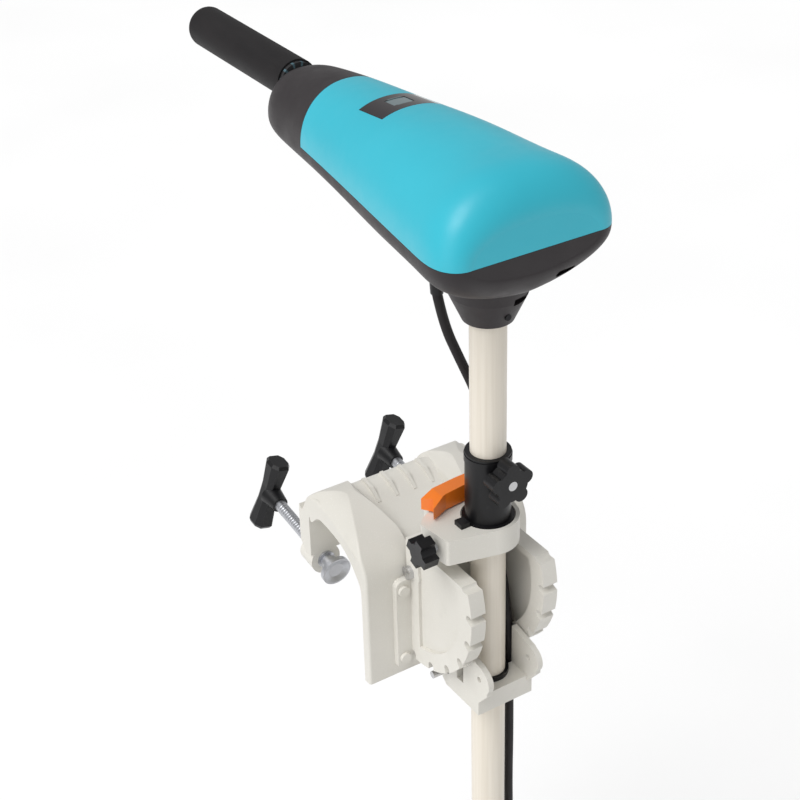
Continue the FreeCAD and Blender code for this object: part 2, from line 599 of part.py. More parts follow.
def head_section(y, half, height, depth, inset):
    """Section of the head: a full arch above the seam, narrower and shallower below it."""
    points = []
    count = 36
    for index in range(count):
        angle = 2 * math.pi * index / count
        across, up = math.cos(angle), math.sin(angle)
        if up >= 0:
            x = (half - inset) * math.copysign(abs(across) ** 0.92, across)
            z = SEAM_Z + (height - inset) * up ** 0.95
        else:
            x = (half - inset) * math.copysign(abs(across) ** 1.25, across)
            z = SEAM_Z - (depth - inset) * abs(up) ** 0.85
        points.append(Vector(x, y, z))
    curve = Part.BSplineCurve()
    curve.interpolate(points, PeriodicFlag=True)
    return Part.Wire([curve.toShape()])


def head_body(inset):
    """The head as one solid, or the hollow inside its wall."""
    stations = HEAD_STATIONS
    if inset:
        first, last = stations[0], stations[-1]
        stations = [(first[0] + inset,) + first[1:]] + stations[1:-1] + [(last[0] - inset,) + last[1:]]
    return Part.makeLoft([head_section(*station, inset) for station in stations], True, False)


def cover_zone(gap):
    """Room above the seam and behind the nose, which the cover takes up."""
    return box(-120, 120, -200, NOSE_Y - gap, SEAM_Z + gap, 480)


def display_zone(gap):
    """Upright room over the display window."""
    x0, x1, y0, y1 = DISPLAY
    return box(x0 + gap, x1 - gap, y0 + gap, y1 - gap, 400, 440)


def cover():
    """Turquoise top shell."""
    shell = head_body(0).cut(head_body(WALL)).common(cover_zone(0.25))
    bosses = []
    for x, y in COVER_SCREWS:
        post = cyl(4.5, 48, (x, y, SEAM_Z + 0.25)).common(head_body(WALL - 0.4))
        bosses.append(post.cut(cyl(COVER_SCREW_R, 16, (x, y, SEAM_Z - 1))))
    shell = fuse([shell] + bosses)
    return shell.cut(display_zone(0))


def display_window():
    """Smoked window that follows the cover's curve, open for the display glass."""
    shell = head_body(0).cut(head_body(WALL)).common(display_zone(0.15))
    return shell.cut(box(-9, 9, 43, 57, 400, 440))


def display_panel():
    """Liquid crystal module under the window, with its glass in the opening."""
    glass = head_body(0.4).common(box(-8.85, 8.85, 43.15, 56.85, 400, 440))
    glass = glass.cut(box(-30, 30, 30, 70, 380, 412))
    module = box(-14, 14, 38, 62, 405, 413)
    return fuse([glass, module])


def lower_housing():
    """Dark under shell with the nose, the floor and the screw posts."""
    outer, inner = head_body(0), head_body(WALL)
    shell = outer.cut(inner).cut(cover_zone(0))
    lip = head_body(WALL).cut(head_body(WALL + 2))
    parts = [shell, lip.common(box(-90, 90, -116, NOSE_Y - 8, SEAM_Z - 6, SEAM_Z + 3))]
    for x, y in COVER_SCREWS:
        post = cyl(4.5, 60, (x, y, SEAM_Z - 60.2)).common(head_body(WALL - 0.4))
        post = post.common(box(-90, 90, -200, 200, 300, SEAM_Z))
        parts.append(post)
    socket = cyl(22, 30, (0, SHAFT_Y, 322)).common(head_body(1))
    parts.append(socket)
    nose_wall = box(-60, 60, 146, 150, 330, 420).common(head_body(1))
    parts.append(nose_wall)
    body = fuse(parts)
    for x, y in COVER_SCREWS:
        body = body.cut(cyl(COVER_SCREW_R, 80, (x, y, SEAM_Z - 70)))
        body = body.cut(cyl(3.4, 40, (x, y, SEAM_Z - 52)))
    body = body.cut(cyl(SHAFT_R, 60, (0, SHAFT_Y, 300)))
    body = body.cut(cyl(HANDLE_BEARING_R, 80, (0, 140, HANDLE_Z), Y_AXIS))
    body = body.cut(cyl(6.0, 30, (CABLE_ROUTE[0][0], CABLE_ROUTE[0][1], 315)))
    drain = fuse([box(-6, 6, -140, -100, -3, 3), cyl(3, 40, (-6, -140, 0), Y_AXIS),
                  cyl(3, 40, (6, -140, 0), Y_AXIS)])
    drain.translate(Vector(28, 0, 346))
    return body.cut(drain)


def head_boss():
    """Conical foot of the head, clamped round the top of the shaft."""
    body = fuse([cone(20, 30, 22, (0, SHAFT_Y, 294)), cone(30, 34, 14, (0, SHAFT_Y, 316))])
    body = body.cut(head_body(0))
    body = body.cut(cyl(SHAFT_R, 60, (0, SHAFT_Y, 290)))
    body = body.cut(boss_screw())
    return body.cut(box(2, 20, SHAFT_Y - 34, SHAFT_Y - 22, 314, 320))


def boss_screw():
    """Cross screw that stops the head turning on the shaft."""
    screw = cyl(2.5, 24, (0, SHAFT_Y - 26, 304), Y_AXIS)
    return screw.common(box(-5, 5, SHAFT_Y - 26, SHAFT_Y - SHAFT_R, 290, 320))


def cover_screws():
    pieces = []
    for x, y in COVER_SCREWS:
        head = cyl(3.2, 2.4, (x, y, SEAM_Z - 14.4))
        stem = cyl(COVER_SCREW_R, 24, (x, y, SEAM_Z - 12.4))
        pieces.append(fuse([head, stem]))
    return Part.makeCompound(pieces)


def control_board():
    """Circuit board on the housing's floor: power transistors, capacitors, terminal block."""
    board = box(-30, 30, -30, 60, BOARD_TOP - 1.6, BOARD_TOP)
    transistors = [box(x, x + 10, -20, -14, BOARD_TOP, 368) for x in (-24, -10, 4, 18)]
    capacitors = [cyl(6, 14, (x, 20, BOARD_TOP)) for x in (-18, 0, 18)]
    terminals = box(-16, 16, 44, 54, BOARD_TOP, 362)
    return fuse([board, terminals] + transistors + capacitors)


def speed_pot():
    """Rotary speed control on the end of the handle's rod."""
    return tube(11, 4.0, 14, (0, 130, HANDLE_Z), Y_AXIS)


def handle_rod():
    """Steel tube that carries the grip, with a solid end that turns the speed control."""
    outside = fuse([cyl(HANDLE_ROD_R, GRIP_END - 7 - 152, (0, 152, HANDLE_Z), Y_AXIS),
                    cyl(3.9, 24, (0, 130, HANDLE_Z), Y_AXIS)])
    return outside.cut(cyl(5.5, GRIP_END, (0, 164, HANDLE_Z), Y_AXIS))


def handle_bearing():
    """Sleeve bearing in the nose."""
    return tube(HANDLE_BEARING_R, HANDLE_ROD_R + RUNNING_GAP, 52, (0, 151, HANDLE_Z), Y_AXIS)


def pointer_ring():
    """Ring at the grip's root that shows the speed setting."""
    return tube(16.2, HANDLE_ROD_R, 3.2, (0, GRIP_START - 2.6, HANDLE_Z), Y_AXIS)


def twist_grip():
    """Rubber sleeve with a domed end."""
    length = GRIP_END - GRIP_START
    body = cyl(GRIP_R, length, (0, GRIP_START + 0.6, HANDLE_Z), Y_AXIS)
    body = rounded(body, 8, lambda edge: edge.CenterOfMass.y > GRIP_END - 1
                   and not isinstance(edge.Curve, Part.Line))
    return body.cut(cyl(HANDLE_ROD_R, length - 6.6, (0, GRIP_START, HANDLE_Z), Y_AXIS))


# ---------------------------------------------------------------- submerged motor
def along_pod(radius, length, y):
    """Cylinder round the motor's axis, from y forwards."""
    return cyl(radius, length, (0, y, POD_Z), Y_AXIS)


def motor_housing():
    """Tube with the neck that takes the shaft and the fin below."""
    body = along_pod(POD_R, POD_FRONT - POD_REAR, POD_REAR)
    neck = cone(34, 20, 44, (0, SHAFT_Y, POD_Z + POD_R - 14))
    fin = side_prism([(-24, POD_Z - 40), (-112, POD_Z - 40), (-122, POD_Z - 118), (-100, POD_Z - 122)],
                     -3, 3)
    fin = rounded(fin, 1.4, lambda edge: edge.BoundBox.XLength < 0.1 and not parallel(edge, X_AXIS))
    body = fuse([body, neck, fin])
    body = body.cut(along_pod(POD_R - 4, 200, POD_REAR - 20))
    body = body.cut(cyl(SHAFT_R, 60, (0, SHAFT_Y, SHAFT_BOTTOM)))
    return body.cut(cyl(SHAFT_BORE_R - 1, 60, (0, SHAFT_Y, POD_Z + 30)))


def domed(radius, tip_radius, length, y, toward):
    """Solid of revolution round the motor's axis that narrows in a quarter ellipse."""
    steps = 9
    profile = [Vector(0, 0, 0), Vector(radius, 0, 0)]
    for index in range(1, steps + 1):
        angle = math.pi / 2 * index / steps
        reach = length * math.sin(angle)
        width = tip_radius + (radius - tip_radius) * math.cos(angle)
        profile.append(Vector(width, toward * reach, 0))
    curve = Part.BSplineCurve()
    curve.interpolate(profile[1:])
    edges = [Part.LineSegment(profile[0], profile[1]).toShape(), curve.toShape(),
             Part.LineSegment(profile[-1], Vector(0, toward * length, 0)).toShape(),
             Part.LineSegment(Vector(0, toward * length, 0), profile[0]).toShape()]
    solid = Part.Face(Part.Wire(edges)).revolve(Vector(0, 0, 0), Y_AXIS, 360)
    solid.translate(Vector(0, y, POD_Z))
    return solid


def nose_cone():
    """Front end bell with the front bearing's seat."""
    outer = domed(POD_R, 6, 84, POD_FRONT, 1)
    inner = domed(POD_R - 6, 4, 66, POD_FRONT - 0.01, 1)
    spigot = tube(POD_R - 4, POD_R - 8, 8, (0, POD_FRONT - 8, POD_Z), Y_AXIS)
    wall = along_pod(POD_R - 6, 8, POD_FRONT)
    body = fuse([outer.cut(inner), spigot, wall])
    body = body.cut(along_pod(MOTOR_BEARING_R, 8.0, POD_FRONT - 0.1))
    return cut_bolt_ways(body)


def rear_bell():
    """Rear end bell that the propeller shaft comes out of."""
    outer = domed(POD_R, 25, 46, POD_REAR, -1)
    inner = domed(POD_R - 6, 21, 30, POD_REAR + 0.01, -1)
    spigot = tube(POD_R - 4, POD_R - 8, 8, (0, POD_REAR, POD_Z), Y_AXIS)
    body = fuse([outer.cut(inner), spigot])
    body = body.cut(along_pod(6.0, 60, POD_REAR - 50))
    body = body.cut(along_pod(MOTOR_BEARING_R, 9, POD_REAR - 39))
    body = body.cut(along_pod(SEAL_R, 6.0, POD_REAR - 46))
    return cut_bolt_ways(body)


def cut_bolt_ways(body):
    """Cuts the holes of the two through bolts and of their heads."""
    length = POD_FRONT + 8 - (POD_REAR - 46)
    for side in (-1, 1):
        body = body.cut(cyl(POD_BOLT_R, length, (side * POD_BOLT_X, POD_REAR - 46, POD_Z), Y_AXIS))
        body = body.cut(cyl(4.7, 30, (side * POD_BOLT_X, POD_REAR - 46, POD_Z), Y_AXIS))
    return body


def through_bolts():
    """Two long screws that pull the end bells onto the tube."""
    pieces = []
    length = POD_FRONT + 7.5 - (POD_REAR - 16)
    for side in (-1, 1):
        stem = cyl(POD_BOLT_R, length, (side * POD_BOLT_X, POD_REAR - 16, POD_Z), Y_AXIS)
        head = cyl(4.5, 4, (side * POD_BOLT_X, POD_REAR - 20, POD_Z), Y_AXIS)
        pieces.append(fuse([stem, head]))
    return Part.makeCompound(pieces)


def field_magnets():
    """Two curved magnets bonded inside the tube."""
    ring = tube(POD_R - 4, ARMATURE_R + 0.6, 70, (0, -104, POD_Z), Y_AXIS)
    ring = ring.cut(cyl(SHAFT_R + 1, 60, (0, SHAFT_Y, POD_Z + 30)))
    return Part.makeCompound([ring.common(box(-22, 22, -110, -20, low, low + 60))
                              for low in (POD_Z, POD_Z - 60)])


def armature():
    """Slotted laminated core on the motor shaft, with the copper end windings."""
    core = along_pod(ARMATURE_R, 64, -101)
    for index in range(12):
        slot = box(-1.6, 1.6, -102, -36, POD_Z + 22, POD_Z + 36)
        core = core.cut(turned(slot, (0, 0, POD_Z), Y_AXIS, 30 * index))
    core = core.cut(along_pod(MOTOR_SHAFT_R, 80, -110))
    windings = [tube(31, 13, 9, (0, y, POD_Z), Y_AXIS) for y in (-110.2, -36.8)]
    return Part.makeCompound([core] + windings)


def commutator():
    return tube(COMMUTATOR_R, MOTOR_SHAFT_R, 18, (0, -27, POD_Z), Y_AXIS)


def brush_plate():
    """Insulating plate with the brush boxes."""
    plate = tube(ARMATURE_R, 14, 3, (0, -8, POD_Z), Y_AXIS)
    boxes = [box(x, x + 12, -24, -8, POD_Z - 7, POD_Z + 7) for x in (-26, 14)]
    ways = box(-30, 30, -22, -11, POD_Z - 4, POD_Z + 4)
    return fuse([plate] + [holder.cut(ways) for holder in boxes])


def brushes():
    """Two carbon brushes held against the commutator."""
    blocks = [box(x, x + 25 - COMMUTATOR_R, -22, -11, POD_Z - 4, POD_Z + 4) for x in (COMMUTATOR_R, -25)]
    return Part.makeCompound([block.cut(along_pod(COMMUTATOR_R + 0.05, 40, -40)) for block in blocks])


def motor_shaft():
    """Steel shaft through the bearings to the propeller."""
    front = POD_FRONT + 7
    body = along_pod(MOTOR_SHAFT_R, front + 246, -246)
    return body.cut(cyl(DRIVE_PIN_R, 20, (0, DRIVE_PIN_Y, POD_Z - 10)))


def motor_bearings():
    """Ball bearings in the two end bells."""
    bore = MOTOR_SHAFT_R + RUNNING_GAP
    return Part.makeCompound([tube(MOTOR_BEARING_R, bore, 7, (0, POD_FRONT, POD_Z), Y_AXIS),
                              tube(MOTOR_BEARING_R, bore, 8, (0, POD_REAR - 38.9, POD_Z), Y_AXIS)])


def shaft_seal():
    return tube(SEAL_R, MOTOR_SHAFT_R + RUNNING_GAP, 6, (0, POD_REAR - 46, POD_Z), Y_AXIS)


def drive_pin():
    return cyl(DRIVE_PIN_R, 19, (0, DRIVE_PIN_Y, POD_Z - 9.5))


def propeller():
    """Two swept blades on a rounded hub, slotted at the front for the drive pin."""
    hub = fuse([along_pod(HUB_R, 34, HUB_FRONT - 34), domed(HUB_R, 13, 16, HUB_FRONT - 34, -1)])
    blades = []
    for index in range(2):
        sections = []
        for radius, chord, thick, pitch in ((16, 46, 7.0, 52), (45, 58, 5.0, 38), (85, 54, 3.6, 27),
                                            (112, 34, 2.6, 22), (PROP_R, 14, 1.8, 21)):
            sweep = 26 * (radius / PROP_R) ** 2
            wire = Part.Wire([Part.Ellipse(Vector(0, 0, 0), chord / 2, thick / 2).toShape()])
            wire.rotate(Vector(0, 0, 0), Z_AXIS, pitch)
            wire.translate(Vector(sweep, HUB_FRONT - 18, radius))
            sections.append(wire)
        blade = Part.makeLoft(sections, True, False)
        blade.translate(Vector(0, 0, POD_Z))
        blades.append(turned(blade, (0, 0, POD_Z), Y_AXIS, 180 * index + 55))
    body = fuse([hub] + blades)
    body = body.cut(along_pod(MOTOR_SHAFT_R, 80, HUB_FRONT - 60))
    for wide, high in ((10.5, 1.6), (1.6, 10.5)):
        body = body.cut(box(-wide, wide, HUB_FRONT - 7.6, HUB_FRONT + 1, POD_Z - high, POD_Z + high))
    return body


def prop_washer():
    return tube(11, MOTOR_SHAFT_R, 1.5, (0, HUB_FRONT - HUB_LENGTH - 1.5, POD_Z), Y_AXIS)


def prop_nut():
    """Finned plastic nut that is turned by hand."""
    start = HUB_FRONT - HUB_LENGTH - 1.5 - 12
    core = cyl(9, 12, (0, start, POD_Z), Y_AXIS)
    wings = [turned(box(-1.8, 1.8, start, start + 11, POD_Z, POD_Z + 13), (0, 0, POD_Z), Y_AXIS, 120 * i)
             for i in range(3)]
    return fuse([core] + wings).cut(along_pod(MOTOR_SHAFT_R, 8.5, start + 3.6))


# ---------------------------------------------------------------- battery cable
def rounded_route(points):
    """Straight runs joined by tangent arcs, each arc as large as its two runs allow."""
    points = [Vector(*point) for point in points]
    edges = []
    radii = []
    here = points[0]
    for before, corner, after in zip(points, points[1:], points[2:]):
        inward = corner - before
        onward = after - corner
        turn = inward.getAngle(onward)
        reach = 0.45 * min(inward.Length, onward.Length)
        radius = reach / math.tan(turn / 2)
        radii.append(radius)
        inward.normalize()
        onward.normalize()
        start = corner - inward * reach
        end = corner + onward * reach
        bisector = onward - inward
        bisector.normalize()
        middle = corner + bisector * (radius / math.cos(turn / 2) - radius)
        edges += [Part.LineSegment(here, start).toShape(), Part.Arc(start, middle, end).toShape()]
        here = end
    edges.append(Part.LineSegment(here, points[-1]).toShape())
    return Part.Wire(edges), radii


def cord_tube(points, radius):
    """Round tube along the route, with a print of its length and tightest arcs."""
    path, radii = rounded_route(points)
    points = [Vector(*point) for point in points]
    ring = Part.Wire([Part.makeCircle(radius, points[0], points[1] - points[0])])
    solid = path.makePipeShell([ring], True, False)
    print("  route: length %.0f, tightest arc %.0f, volume ratio %.4f" % (
        path.Length, min(radii), solid.Volume / (math.pi * radius ** 2 * path.Length)))
    return solid


def cable_gland():
    """Tapered strain relief under the head."""
    x, y, z = CABLE_ROUTE[0]
    body = fuse([cone(5.0, 6.6, 24, (x, y, z)), cyl(9, 3, (x, y, z + 22)), cyl(6.0, 12, (x, y, z + 24))])
    return body.cut(cyl(3.2, 60, (x, y, z + 3)))


def hank_block(waist, depth, low, high):
    """Straight middle of the hank, between two levels."""
    block = box(HANK_X - waist, HANK_X + waist, HANK_Y - depth / 2, HANK_Y + depth / 2, low, high)
    return rounded(block, 3.0, lambda edge: parallel(edge, Z_AXIS))


def cable_hank():
    """Outer shape of the folded spare cable: two end loops and a waist."""
    levels = (HANK_TOP - HANK_LOOP_R, HANK_BOTTOM + HANK_LOOP_R)
    loops = [cyl(HANK_LOOP_R, HANK_DEPTH, (HANK_X, HANK_Y - HANK_DEPTH / 2, z), Y_AXIS) for z in levels]
    loops = [rounded(loop, 3.5, lambda edge: not parallel(edge, Y_AXIS)) for loop in loops]
    return fuse(loops + [hank_block(HANK_WAIST, HANK_DEPTH, levels[1], levels[0])])


def hank_tie():
    """Strap round the waist of the hank."""
    middle = (HANK_TOP + HANK_BOTTOM) / 2
    outer = hank_block(HANK_WAIST + 1.6, HANK_DEPTH + 3.2, middle - 9, middle + 9)
    return outer.cut(hank_block(HANK_WAIST, HANK_DEPTH, middle - 10, middle + 10))


def battery_plug():
    """Two-pole plug body with its strain relief and brass pins."""
    relief = cone(9, 5.5, 22, (0, 0, -22))
    body = rounded(box(-15, 15, -9, 9, -54, -22), 5, lambda edge: parallel(edge, Z_AXIS))
    pins = [cyl(2.6, 15, (x, 0, -69)) for x in (-7, 7)]
    plug = Part.makeCompound([fuse([relief, body])] + pins)
    plug.translate(Vector(HANK_X - 8, HANK_Y + 8.4, HANK_BOTTOM + 2))
    return plug


# ---------------------------------------------------------------- all parts
def build():
    """Saves every part under its function's name, and the sided ones with left or right."""
    for label, side in (("left", -1), ("right", 1)):
        save("clamp_screw_" + label, clamp_screw(side))
        save("clamp_handle_" + label, clamp_handle(side))
        save("clamp_pad_" + label, clamp_pad(side))
    for piece in (clamp_bracket, tilt_bracket, bracket_bolts, clamp_nuts, tilt_pin,
                  yoke, upper_bush, lower_bush, release_lever, lever_pin, lock_bar, lock_rod,
                  lock_spring, tension_screw, tension_knob, depth_collar, collar_screw, collar_knob,
                  shaft, motor_leads, cover, display_window, display_panel, lower_housing, head_boss,
                  boss_screw, cover_screws, control_board, speed_pot, handle_rod,
                  handle_bearing, pointer_ring, twist_grip, motor_housing, nose_cone, rear_bell,
                  through_bolts, field_magnets, armature, commutator, brush_plate, brushes,
                  motor_shaft, motor_bearings, shaft_seal, drive_pin, propeller,
                  prop_washer, prop_nut, cable_gland, cable_hank, hank_tie, battery_plug):
        save(piece.__name__, piece())
    save("battery_cable", cord_tube(CABLE_ROUTE, CABLE_R))


build()
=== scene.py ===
"""Looks of the transom-mount trolling motor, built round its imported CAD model.

The CAD nodes keep their shapes and get procedural materials here. The battery lead is
one smooth cord that replaces the CAD tube and hank. Lengths are in metres.
"""

import json
import math

import bpy
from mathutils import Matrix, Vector


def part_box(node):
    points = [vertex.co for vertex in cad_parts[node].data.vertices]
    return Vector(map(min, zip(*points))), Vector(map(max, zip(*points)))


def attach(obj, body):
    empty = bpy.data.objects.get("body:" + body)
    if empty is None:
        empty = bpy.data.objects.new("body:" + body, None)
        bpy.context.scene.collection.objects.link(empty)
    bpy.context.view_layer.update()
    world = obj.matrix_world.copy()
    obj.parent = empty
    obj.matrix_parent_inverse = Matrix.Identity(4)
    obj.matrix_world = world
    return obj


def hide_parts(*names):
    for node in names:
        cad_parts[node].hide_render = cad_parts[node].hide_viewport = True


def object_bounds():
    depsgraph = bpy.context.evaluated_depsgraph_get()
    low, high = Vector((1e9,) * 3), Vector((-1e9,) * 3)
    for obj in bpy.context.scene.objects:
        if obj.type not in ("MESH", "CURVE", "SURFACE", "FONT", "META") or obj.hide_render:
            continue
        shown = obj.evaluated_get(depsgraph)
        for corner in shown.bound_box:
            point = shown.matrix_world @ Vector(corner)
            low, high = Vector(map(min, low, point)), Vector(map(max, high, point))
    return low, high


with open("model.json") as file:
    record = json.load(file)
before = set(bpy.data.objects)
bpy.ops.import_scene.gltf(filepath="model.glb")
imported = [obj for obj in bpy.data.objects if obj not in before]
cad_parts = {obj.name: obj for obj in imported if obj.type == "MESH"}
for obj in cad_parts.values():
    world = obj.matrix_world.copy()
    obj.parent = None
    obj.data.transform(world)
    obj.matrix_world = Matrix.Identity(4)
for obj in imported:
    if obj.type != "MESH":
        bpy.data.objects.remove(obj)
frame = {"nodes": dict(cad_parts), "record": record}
NODES = frame["nodes"]
cad_box = [list(corner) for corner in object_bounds()]

# camera
CAMERA_PLACE = (-0.645, -0.989, 0.908)
CAMERA_TURN = (58.65, 0.0, -34.9)       # degrees
CAMERA_LENS = 78.4                      # mm on a 36 mm sensor
CAMERA_SHIFT = -0.1095                  # of the frame's width: the motor isn't centred in it

# studio
WORLD_STRENGTH = 0.50
SUN_FROM = (-0.60, -0.10, 0.90)
SUN_STRENGTH = 2.1
SUN_ANGLE = 0.7                         # wide, for soft shadows
FILL_PLACE = (-2.0, -0.6, 0.6)
FILL_AIM = (0.0, 0.0, 0.25)
FILL_SIZE = 1.8
FILL_POWER = 6.0

FLOOR_DROP = 0.13                       # the motor at its deepest setting hangs clear of the floor
FLOOR_SIZE = 12.0

RING_MARKS = 12                         # speed marks round the grip's root

# display window, as shares of the panel's size
GLASS_HALF_X = 0.24
GLASS_HALF_Y = 0.36
GLASS_EDGE = 0.0012                     # soft border round the glass

# battery lead
LEAD_DIAMETER = 0.008
HANK_X = 0.050
HANK_LAYERS = (-0.0604, -0.052, -0.0436)    # Y of the three layers of turns
HANK_UPPER = -0.328                     # Z of the centres of the end loops
HANK_LOWER = -0.422
HANK_SHOULDER = HANK_UPPER - 0.010      # where the runs leave the upper loops
LOOP_R = 0.024
LOOP_CORNER = 0.414                     # tan 22.5 degrees: corners of a regular octagon
WAIST = 0.006                           # half the spread of the runs under the tie
WAIST_LEVELS = (-0.360, -0.390)
TAIL_X = HANK_X - 0.008                 # last run, down to the plug
TAIL_LEVELS = (-0.428, -0.460)


# ---------------------------------------------------------------- node helpers
MIX_COLOURS = slice(6, 8)               # sockets A and B of a Mix node set to colours
MIX_RESULT = 2


class Graph:
    """Short ways to add and join the nodes of one material."""

    def __init__(self, name):
        self.material = bpy.data.materials.new(name)
        self.material.use_nodes = True
        self.tree = self.material.node_tree
        self.shader = self.tree.nodes["Principled BSDF"]
        self.place = self.tree.nodes.new("ShaderNodeTexCoord").outputs["Object"]

    def add(self, kind, **values):
        node = self.tree.nodes.new(kind)
        for name, value in values.items():
            setattr(node, name, value)
        return node

    def join(self, source, target):
        self.tree.links.new(source, target)

    def set(self, **values):
        for name, value in values.items():
            self.shader.inputs[name.replace("_", " ")].default_value = value

    def stretched(self, scale):
        """Object coordinates scaled differently along each axis."""
        mapping = self.add("ShaderNodeMapping")
        mapping.inputs["Scale"].default_value = scale
        self.join(self.place, mapping.inputs["Vector"])
        return mapping.outputs["Vector"]

    def noise(self, scale, detail=3.0, roughness=0.5, vector=None):
        node = self.add("ShaderNodeTexNoise")
        node.inputs["Scale"].default_value = scale
        node.inputs["Detail"].default_value = detail
        node.inputs["Roughness"].default_value = roughness
        self.join(vector or self.place, node.inputs["Vector"])
        return node.outputs["Fac"]

    def ramp(self, value, stops):
        """Colour ramp over (position, colour) stops."""
        node = self.add("ShaderNodeValToRGB")
        elements = node.color_ramp.elements
        while len(elements) < len(stops):
            elements.new(0.5)
        for element, (position, colour) in zip(elements, stops):
            element.position = position
            element.color = (*colour, 1.0)
        self.join(value, node.inputs["Fac"])
        return node.outputs["Color"]

    def spread(self, value, low, high, source=(0.3, 0.7)):
        """Maps a noise value onto low..high."""
        node = self.add("ShaderNodeMapRange")
        node.inputs["From Min"].default_value = source[0]
        node.inputs["From Max"].default_value = source[1]
        node.inputs["To Min"].default_value = low
        node.inputs["To Max"].default_value = high
        self.join(value, node.inputs["Value"])
        return node.outputs["Result"]

    def maths(self, operation, *values):
        """One sum over values, each a socket or a number."""
        node = self.add("ShaderNodeMath", operation=operation)
        for socket, value in zip(node.inputs, values):
            if isinstance(value, (int, float)):
                socket.default_value = value
            else:
                self.join(value, socket)
        return node.outputs[0]

    def mix(self, factor, first, second):
        """Mixes two colours, each a socket or an (r, g, b)."""
        node = self.add("ShaderNodeMix", data_type="RGBA")
        self.join(factor, node.inputs["Factor"])
        for socket, value in zip(node.inputs[MIX_COLOURS], (first, second)):
            if isinstance(value, tuple):
                socket.default_value = (*value, 1.0)
            else:
                self.join(value, socket)
        return node.outputs[MIX_RESULT]

    def bump(self, height, distance, strength=1.0, under=None):
        node = self.add("ShaderNodeBump")
        node.inputs["Distance"].default_value = distance
        node.inputs["Strength"].default_value = strength
        self.join(height, node.inputs["Height"])
        if under is not None:
            self.join(under, node.inputs["Normal"])
        self.join(node.outputs["Normal"], self.shader.inputs["Normal"])
        return node.outputs["Normal"]

    def colour(self, socket):
        self.join(socket, self.shader.inputs["Base Color"])

    def roughness(self, socket):
        self.join(socket, self.shader.inputs["Roughness"])


def shade(colour, factor):
    return tuple(min(1.0, channel * factor) for channel in colour)


def moulded_skin(name, roughness, grain, depth):
    """Moulded plastic without its colour: spark-eroded grain and uneven gloss."""
    g = Graph(name)
    g.roughness(g.spread(g.noise(60.0), roughness - 0.05, roughness + 0.06))
    soft = g.bump(g.noise(35.0, 2.0), 0.0004, 0.25)
    g.bump(g.noise(grain, 2.0), depth, 0.6, under=soft)
    return g


def moulded(name, colour, roughness, grain, depth, variation=0.06):
    """Moulded plastic with faint flow marks in its colour."""
    g = moulded_skin(name, roughness, grain, depth)
    flow = g.noise(9.0, 4.0, 0.55)
    g.colour(g.ramp(flow, [(0.3, shade(colour, 1 - variation)), (0.7, shade(colour, 1 + variation))]))
    return g


# ---------------------------------------------------------------- materials
def bracket_white():
    """Off-white glass-filled nylon with pale fibre flecks and patches of handling marks."""
    g = moulded_skin("bracket_white", 0.46, 1500.0, 0.00006)
    body = g.ramp(g.noise(9.0, 4.0), [(0.3, (0.635, 0.615, 0.56)), (0.7, (0.70, 0.68, 0.63))])
    fleck = g.spread(g.noise(900.0, 1.0), 0.0, 0.35, (0.62, 0.75))
    marks = g.spread(g.noise(28.0, 6.0, 0.65), 0.0, 0.30, (0.60, 0.80))
    flecked = g.mix(fleck, body, (0.78, 0.77, 0.73))
    g.colour(g.mix(marks, flecked, (0.50, 0.48, 0.43)))
    g.set(Specular_IOR_Level=0.45)
    return g.material


def black_plastic():
    """Black moulding of the knobs, collar and T handles, with paler scuffs."""
    g = moulded_skin("black_plastic", 0.36, 1800.0, 0.00008)
    scuff = g.spread(g.noise(140.0, 5.0, 0.7), 0.0, 0.5, (0.60, 0.78))
    g.colour(g.mix(scuff, (0.007, 0.007, 0.008), (0.026, 0.026, 0.028)))
    g.set(Specular_IOR_Level=0.3)
    return g.material


def orange_plastic():
    """Bright, slightly translucent moulding of the release lever."""
    g = moulded("orange_plastic", (0.88, 0.20, 0.012), 0.36, 1600.0, 0.00005, 0.10)
    g.set(Coat_Weight=0.15, Coat_Roughness=0.3, Subsurface_Weight=0.03)
    return g.material


def charcoal_housing():
    """Dark warm-grey moulding of the head's lower half and nose."""
    g = moulded_skin("charcoal_housing", 0.48, 2200.0, 0.00010)
    dust = g.spread(g.noise(18.0, 6.0, 0.6), 0.0, 0.35, (0.52, 0.78))
    g.colour(g.mix(dust, (0.027, 0.023, 0.025), (0.045, 0.040, 0.041)))
    g.set(Specular_IOR_Level=0.28)
    return g.material


def turquoise_cover():
    """Satin-gloss moulded cover with a faint orange-peel surface."""
    g = Graph("turquoise_cover")
    drift = g.noise(6.0, 3.0)
    g.colour(g.ramp(drift, [(0.3, (0.024, 0.425, 0.545)), (0.7, (0.034, 0.475, 0.60))]))
    g.roughness(g.spread(g.noise(80.0, 4.0), 0.38, 0.48))
    peel = g.bump(g.noise(260.0, 1.0), 0.00006, 0.35)
    g.bump(g.noise(1900.0, 2.0), 0.00003, 0.5, under=peel)
    g.set(Coat_Weight=0.15, Coat_Roughness=0.32, Specular_IOR_Level=0.4)
    return g.material


def beige_shaft():
    """Pultruded composite tube: faint lengthwise streaks under a satin skin."""
    g = Graph("beige_shaft")
    streaks = g.noise(1.0, 4.0, 0.6, g.stretched((260.0, 260.0, 5.0)))
    g.colour(g.ramp(streaks, [(0.30, (0.70, 0.64, 0.545)), (0.70, (0.78, 0.725, 0.635))]))
    g.roughness(g.spread(g.noise(50.0, 4.0), 0.36, 0.50))
    g.bump(g.noise(1.0, 2.0, 0.5, g.stretched((900.0, 900.0, 40.0))), 0.00004, 0.5)
    g.set(Coat_Weight=0.12, Coat_Roughness=0.35)
    return g.material


